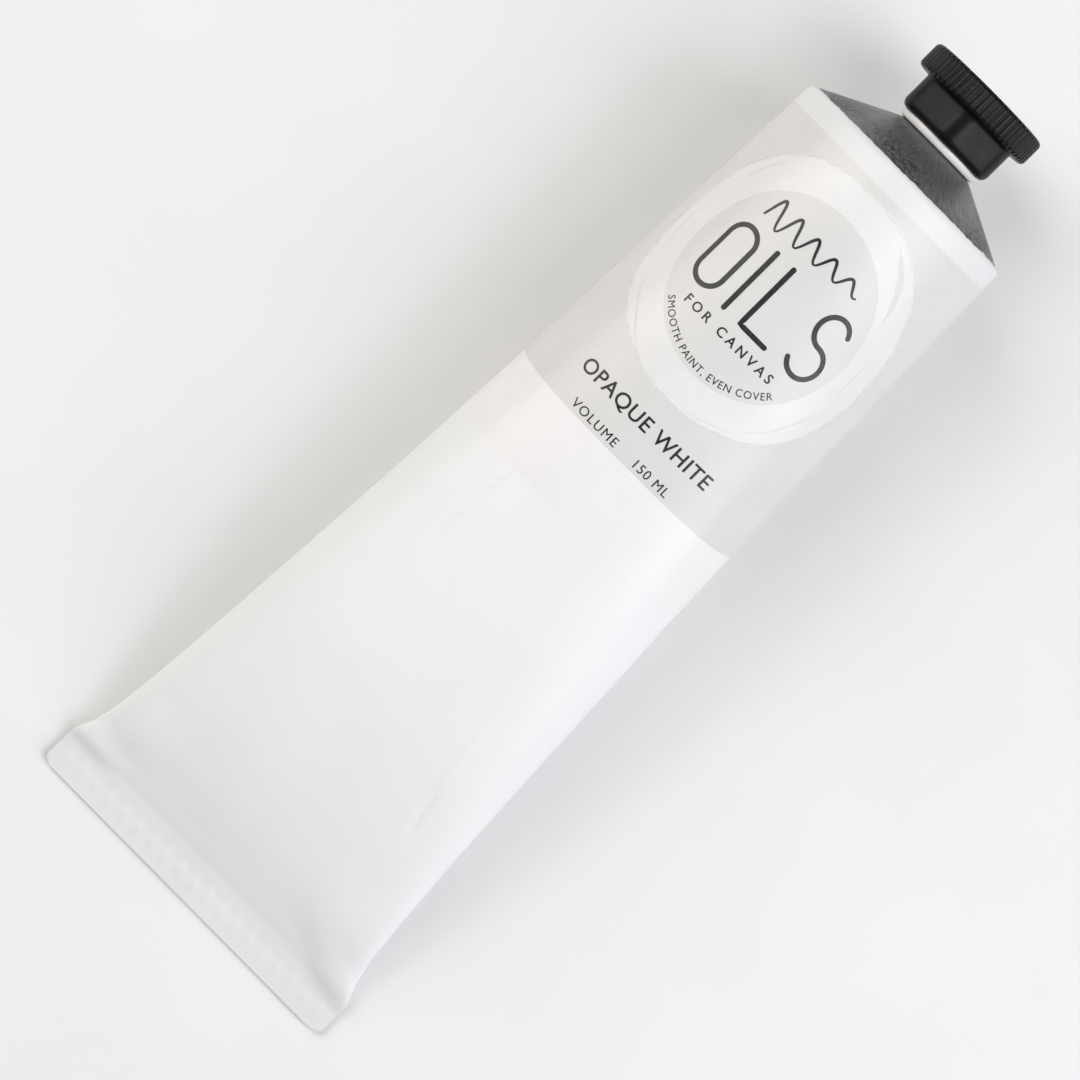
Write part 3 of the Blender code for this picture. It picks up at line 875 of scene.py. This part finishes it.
def make_band():
    """The white brushed band round the disc, with a ragged outside edge and loose bristle ends."""
    turns = np.linspace(0.0, 2.0 * math.pi, 481)[:-1]
    spots = np.stack([np.cos(turns), np.sin(turns), 0.0 * turns], -1)
    outer = BAND_RADIUS + waves(spots, BAND_WAVES) - BAND_OVAL * np.cos(2.0 * (turns - BAND_OVAL_TURN))
    inner = DISC_RADIUS + 0.00003 * wander(spots, 0.2, 13)
    steps = 9
    points = []
    for k in range(steps + 1):
        points += list(zip(*band_point(turns, inner + (outer - inner) * k / steps)))
    count = len(turns)
    faces = []
    for k in range(steps):
        for i in range(count):
            j = (i + 1) % count
            faces.append((k * count + i, k * count + j, (k + 1) * count + j, (k + 1) * count + i))
    print_piece("label_band", [(np.array(points), faces)], brushed_white, 0.0)
    bristles = []
    steps = 16
    taper = np.sin(np.linspace(0.10, math.pi - 0.10, steps))
    for k in range(BRISTLES):
        middle = 2.0 * math.pi * spread(k, 0.381966)
        half = 0.04 + 0.15 * spread(k, 0.7548)
        lean = 0.0010 * spread(k, 0.5698) - 0.00015
        width = 0.00008 + 0.00022 * spread(k, 0.2361)
        path_turns = np.linspace(middle - half, middle + half, steps)
        edge = np.interp(path_turns % (2.0 * math.pi), turns, outer)
        path = edge + lean * np.linspace(-0.7, 1.0, steps)
        bristles += stroke(list(zip(*band_point(path_turns, path))), width * taper)
    print_piece("label_bristles", bristles, brushed_white, INK)


def make_band_streaks():
    """Grey slivers where the dry brush left gaps: start and end angle, start and end radius, width."""
    patches = []
    steps = 30
    share = np.linspace(0.0, 1.0, steps)
    taper = np.sin(0.08 + (math.pi - 0.16) * share)
    for start, end, first, last, thick in (
        (24.0, 60.0, 0.0203, 0.0176, 0.00120),
        (28.0, 50.0, 0.0194, 0.0185, 0.00022),
        (80.0, 101.0, 0.0187, 0.0186, 0.00018),
        (112.0, 148.0, 0.0196, 0.0201, 0.00030),
        (150.0, 171.0, 0.0206, 0.0204, 0.00018),
        (-63.0, -40.0, 0.0196, 0.0206, 0.00026),
        (-104.0, -84.0, 0.0199, 0.0196, 0.00020),
        (-150.0, -122.0, 0.0203, 0.0198, 0.00030),
        (196.0, 222.0, 0.0207, 0.0203, 0.00020),
    ):
        turns = np.radians(np.linspace(start, end, steps))
        path = first + (last - first) * share + 0.00012 * np.sin(turns * 11.0)
        thin = thick * taper * (0.85 + 0.15 * np.sin(turns * 37.0))
        patches += stroke(list(zip(*band_point(turns, path))), thin)
    print_piece("label_band_streaks", patches, film_grey, INK)


def make_big_letters():
    """Four tall thin letters: OILS."""
    low = 0.1268
    high = 0.1378
    thick = 0.00080
    half = 0.0025
    o_middle = -0.0107
    i_place = -0.0053
    l_start = -0.0019
    l_end = 0.0031
    s_middle = 0.0088
    corner_steps = 24
    upper = arc(high - half, o_middle, half, half, 0.0, 180.0, corner_steps)
    lower = arc(low + half, o_middle, half, half, 180.0, 360.0, corner_steps)
    side = line(*upper[-1], *lower[0], steps=8)[1:-1]
    other_side = line(*lower[-1], *upper[0], steps=8)[1:-1]
    patches = stroke(upper + side + lower + other_side, thick, closed=True)
    patches += stroke(line(low, i_place, high, i_place), thick)
    corner = line(high, l_start, low, l_start, 14) + line(low, l_start, low, l_end, 8)[1:]
    patches += stroke(corner, thick)
    bow = (high - low) / 4.0
    upper = arc(high - bow, s_middle, bow, 0.0025, 25.0, 270.0, 26)
    lower = arc(low + bow, s_middle, bow, 0.0027, 90.0, -155.0, 26)
    patches += stroke(upper[:-1] + lower[1:], thick)
    print_piece("label_big_letters", patches, ink_black, INK)


def make_flourish():
    """A plain brush wave over the letters."""
    start_w = -0.0112
    length = 0.0186
    middle_x = 0.1418
    height = 0.0023
    t = np.linspace(0.0, 1.0, 150)
    w = start_w + length * t
    x = middle_x + height * np.sin(t * 31.0 - 0.6) * (1.0 - 0.62 * t)
    thin = 0.00028 + 0.00020 * np.abs(np.sin(t * 15.5 + 0.4))
    print_piece("label_flourish", stroke(list(zip(x, w)), thin), ink_black, INK)


def make_words():
    """The small lines of print: words, size, x, w, letter spacing, extra weight."""
    patches = []
    for words, size, x, w, spacing, weight in (
        ("FOR CANVAS", 0.00212, 0.12335, -0.0105, 1.52, 0.00003),
        ("OPAQUE WHITE", 0.00335, 0.1056, -0.0144, 1.08, 0.00003),
        ("VOLUME", 0.00212, 0.1008, -0.0112, 1.17, 0.0),
        ("150 ML", 0.00212, 0.1008, 0.0014, 1.12, 0.0),
    ):
        patches += text_patches(words, size, x, w, spacing, weight)
    patches += text_patches("SMOOTH PAINT, EVEN COVER", 0.00165, DISC_X, DISC_W, spacing=1.12, bend=0.0151)
    print_piece("label_words", patches, ink_black, INK)


make_band()
make_band_streaks()
make_big_letters()
make_flourish()
make_words()


# ---------------------------------------------------------------------------------------------------
# Shoulder cone and threaded neck
# ---------------------------------------------------------------------------------------------------
def ridge(x, angle, offset, start, end):
    """The thread's crest, 0 to 1, which runs out at both ends."""
    phase = (x / PITCH - angle / (2.0 * math.pi) + offset) % 1.0
    crest = 1.0 - ramp(np.abs(phase - 0.5), 0.07, 0.23)
    fade = np.minimum(ramp(x, start, start + PITCH * 0.5), 1.0 - ramp(x, end - PITCH * 0.5, end))
    return crest * fade


def make_shoulder():
    angles = around(120)
    slope = (CONE_TOP_X - CONE_X) / (LIP_RADIUS - CONE_TOP_RADIUS)
    under_lip = 0.00005
    hidden_radius = 0.0189
    rows = []
    for radius in (CONE_FOOT, *np.linspace(hidden_radius, CONE_TOP_RADIUS, 14)):
        rows.append(circle(CONE_X - under_lip + (LIP_RADIUS - radius) * slope, radius, angles))
    step_up = 0.0006
    for share in (0.25, 0.5, 0.75, 1.0):
        radius = NECK_RADIUS + (CONE_TOP_RADIUS - NECK_RADIUS) * (1.0 - share) ** 2
        rows.append(circle(CONE_TOP_X + step_up * math.sin(share * math.pi / 2.0), radius, angles))
    for x in np.arange(THREAD_START, THREAD_END, PITCH / 20.0):
        thread = THREAD_RISE * ridge(x, angles, 0.0, THREAD_START, THREAD_END)
        rows.append(circle(x, NECK_RADIUS + thread, angles))
    lip = 0.0003
    mouth = NECK_TOP - lip
    for turn in np.linspace(0.0, math.pi / 2.0, 5):
        rows.append(circle(mouth + lip * math.sin(turn), NECK_RADIUS - lip + lip * math.cos(turn), angles))
    for turn in np.linspace(math.pi / 2.0, math.pi, 5):
        rows.append(circle(mouth + lip * math.sin(turn), BORE + lip + lip * math.cos(turn), angles))
    for radius in (BORE, CONE_INSIDE):
        rows.append(circle(CONE_X + (LIP_RADIUS - radius) * slope - CONE_WALL, radius, angles))
    verts, faces = rings_to_faces(rows, joined=True)
    piece = put("bare_shoulder", verts, faces, "tube", [bare_metal])
    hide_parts("shoulder_neck")


make_shoulder()


def make_ring():
    angles = around(144)
    start = RING_START
    cap_gap = 0.0001
    end = CAP_BASE - cap_gap
    bore = 0.00705
    base = 0.00740
    wide = 0.00762
    soft = 0.0002
    profile = [(start, bore), (start, base - soft), (start + soft, base), (end - 3.0 * soft, wide)]
    for turn in np.linspace(0.2, math.pi / 2.0, 6):
        profile.append((end - soft + soft * math.sin(turn), wide - soft + soft * math.cos(turn)))
    profile.append((end, bore))
    rows = [circle(x, radius, angles) for x, radius in profile]
    verts, faces = rings_to_faces(rows, joined=True)
    piece = put("sealing_ring", verts, faces, "tube", [white_plastic])
    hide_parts("neck_ring")


make_ring()


# ---------------------------------------------------------------------------------------------------
# Cap and its liner
# ---------------------------------------------------------------------------------------------------
def hexagon_radius(angles):
    """Radius of a hexagon with soft corners, one of them on the top line."""
    sector = (angles - math.pi / 3.0) % (math.pi / 3.0) - math.pi / 6.0
    flat = HEX_FLAT / np.cos(np.abs(sector) - math.pi / 6.0)
    return HEX_CORNER - np.log1p(np.exp((HEX_CORNER - flat) / HEX_SOFTNESS)) * HEX_SOFTNESS


def make_cap():
    """One shell from the middle of the ceiling, down the threaded wall, up the hexagon and over the head."""
    angles = around(KNURLS * KNURL_STEPS)
    hexagon = hexagon_radius(angles)
    groove = KNURL_DEPTH * (0.5 - 0.5 * np.cos(angles * KNURLS)) ** KNURL_SHARPNESS
    rows = []

    def outer(x, radius):
        rows.append(circle(x, radius, angles))

    # Ceiling and threaded wall
    dip = 0.0002
    edge = 0.0003
    outer(CAP_CEILING - dip, 0.0002)
    outer(CAP_CEILING - dip, 0.0030)
    outer(CAP_CEILING, 0.0034)
    outer(CAP_CEILING, CAP_WALL_RADIUS - edge)
    outer(CAP_CEILING - edge, CAP_WALL_RADIUS)
    for x in np.arange(CAP_THREAD_END, CAP_THREAD_START, -PITCH / 14.0):
        thread = THREAD_RISE * ridge(x, angles, 0.5, CAP_THREAD_START, CAP_THREAD_END)
        outer(x, CAP_WALL_RADIUS - thread)
    # Foot of the skirt
    lead_in = 0.00025
    outer(CAP_BASE + lead_in, CAP_WALL_RADIUS)
    outer(CAP_BASE, CAP_WALL_RADIUS + lead_in)
    rim = 0.75 * BASE_ROUND
    for turn in np.linspace(0.0, math.pi / 2.0, 8):
        outer(CAP_BASE + BASE_ROUND * (1.0 - math.cos(turn)), hexagon - rim + rim * math.sin(turn))
    # Hexagon and its fillet under the head
    fillet = 0.0005
    skirt = HEAD_BASE - CAP_BASE - BASE_ROUND - fillet
    for share in (0.25, 0.5, 0.75):
        outer(CAP_BASE + BASE_ROUND + share * skirt, hexagon)
    for turn in np.linspace(0.0, math.pi / 2.0, 5):
        outer(HEAD_BASE - fillet + fillet * math.sin(turn), hexagon + fillet - fillet * math.cos(turn))
    # Knurled head: the grooves run out over both rounds
    flat_radius = HEAD_RADIUS - HEAD_ROUND
    for turn in np.linspace(0.0, math.pi / 2.0, 8):
        depth = groove * ramp(math.sin(turn), 0.35, 0.95)
        outer(HEAD_BASE + HEAD_ROUND * (1.0 - math.cos(turn)),
              flat_radius + HEAD_ROUND * math.sin(turn) - depth)
    straight = CAP_TOP - HEAD_BASE - 2.0 * HEAD_ROUND
    for share in (0.33, 0.67):
        outer(HEAD_BASE + HEAD_ROUND + share * straight, HEAD_RADIUS - groove)
    for turn in np.linspace(0.0, math.pi / 2.0, 8):
        depth = groove * ramp(math.cos(turn), 0.35, 0.95)
        outer(CAP_TOP - HEAD_ROUND + HEAD_ROUND * math.sin(turn),
              flat_radius + HEAD_ROUND * math.cos(turn) - depth)
    # Shallow dish in the top, with a small moulding mark in its middle: depth, radius
    for sunk, radius in ((0.0, 0.0086), (0.00012, 0.0083), (0.00018, 0.0070), (0.00018, 0.0012),
                         (0.00030, 0.0010), (0.00030, 0.0002)):
        outer(CAP_TOP - sunk, radius)
    verts, faces = rings_to_faces(rows)
    piece = put("screw_cap_shell", verts, faces, "cap", [black_plastic])
    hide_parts("screw_cap")


def make_liner():
    """A disc with a shallow pressed ring where it meets the neck's mouth."""
    angles = around(96)
    radius = 0.0067
    soft = 0.00012
    pressed = LINER_START + 0.00006
    profile = (
        (LINER_START, 0.0002), (LINER_START, 0.0047), (pressed, 0.0050), (pressed, 0.0060),
        (LINER_START, 0.0062), (LINER_START, radius - soft), (LINER_START + soft, radius),
        (LINER_END - soft, radius), (LINER_END, radius - soft), (LINER_END, 0.0002),
    )
    verts, faces = rings_to_faces([circle(x, radius, angles) for x, radius in profile])
    piece = put("sealing_disc", verts, faces, "liner", [liner_foam])
    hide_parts("cap_liner")


make_cap()
make_liner()


# ---------------------------------------------------------------------------------------------------
# Camera, floor and light
# ---------------------------------------------------------------------------------------------------
VIEW_POINT = 0.0805
VIEW_DISTANCE = 0.497
VIEW_LEAN = math.radians(8.7)
VIEW_ROLL = math.radians(44.7)
FOCAL_LENGTH = 107.9
FLOOR_REACH = 3.0
LIGHT_TARGET = Vector((0.0, 0.0, 0.02))
WORLD_STRENGTH = 0.20
WHITE = (1.0, 1.0, 1.0)
# Soft boxes: name, place, side, power, colour
SOFTBOXES = (
    ("softbox_near", (0.10, -0.84, 0.62), 0.80, 6.4, (0.94, 0.945, 1.0)),
    ("softbox_far", (0.10, 0.84, 0.62), 0.80, 5.0, (1.0, 0.955, 0.89)),
    ("softbox_upper_near", (0.25, -0.58, 1.05), 0.62, 3.9, WHITE),
    ("softbox_upper_far", (0.25, 0.58, 1.05), 0.62, 3.9, WHITE),
)


def make_camera():
    back = (AXIS * math.sin(VIEW_LEAN) + RISE * math.cos(VIEW_LEAN)).normalized()
    drawn_axis = (AXIS - back * AXIS.dot(back)).normalized()
    drawn_side = -ACROSS
    right = drawn_axis * math.cos(VIEW_ROLL) + drawn_side * math.sin(VIEW_ROLL)
    up = drawn_axis * math.sin(VIEW_ROLL) - drawn_side * math.cos(VIEW_ROLL)
    placed = Matrix((right, up, back)).transposed().to_4x4()
    placed.translation = ORIGIN + AXIS * VIEW_POINT + back * VIEW_DISTANCE
    data = bpy.data.cameras.new("camera")
    data.lens = FOCAL_LENGTH
    data.sensor_width = 36.0
    data.clip_start = 0.01
    camera = bpy.data.objects.new("camera", data)
    bpy.context.scene.collection.objects.link(camera)
    camera.matrix_world = placed
    bpy.context.scene.camera = camera


def make_floor():
    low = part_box("wrap_label")[0].z
    corners = ((-1.0, -1.0), (1.0, -1.0), (1.0, 1.0), (-1.0, 1.0))
    mesh = bpy.data.meshes.new("floor")
    mesh.from_pydata([(FLOOR_REACH * x, FLOOR_REACH * y, low) for x, y in corners], [], [(0, 1, 2, 3)])
    recipe = Recipe("floor_paper", ior=1.4)
    recipe.colour(recipe.mottle(30.0, 3.0, grey(0.79), grey(0.81)))
    recipe.shader.inputs["Roughness"].default_value = 0.8
    mesh.materials.append(recipe.material)
    floor = bpy.data.objects.new("floor", mesh)
    bpy.context.scene.collection.objects.link(floor)


def make_light():
    for name, place, side, power, colour in SOFTBOXES:
        data = bpy.data.lights.new(name, "AREA")
        data.shape = "SQUARE"
        data.size = side
        data.energy = power
        data.color = colour
        lamp = bpy.data.objects.new(name, data)
        bpy.context.scene.collection.objects.link(lamp)
        lamp.location = place
        lamp.rotation_euler = (LIGHT_TARGET - Vector(place)).to_track_quat("-Z", "Y").to_euler()
    world = bpy.data.worlds.new("world")
    world.use_nodes = True
    background = world.node_tree.nodes["Background"]
    background.inputs["Color"].default_value = (*WHITE, 1.0)
    background.inputs["Strength"].default_value = WORLD_STRENGTH
    bpy.context.scene.world = world


make_camera()
make_floor()
make_light()
bpy.context.scene.view_settings.view_transform = "Standard"
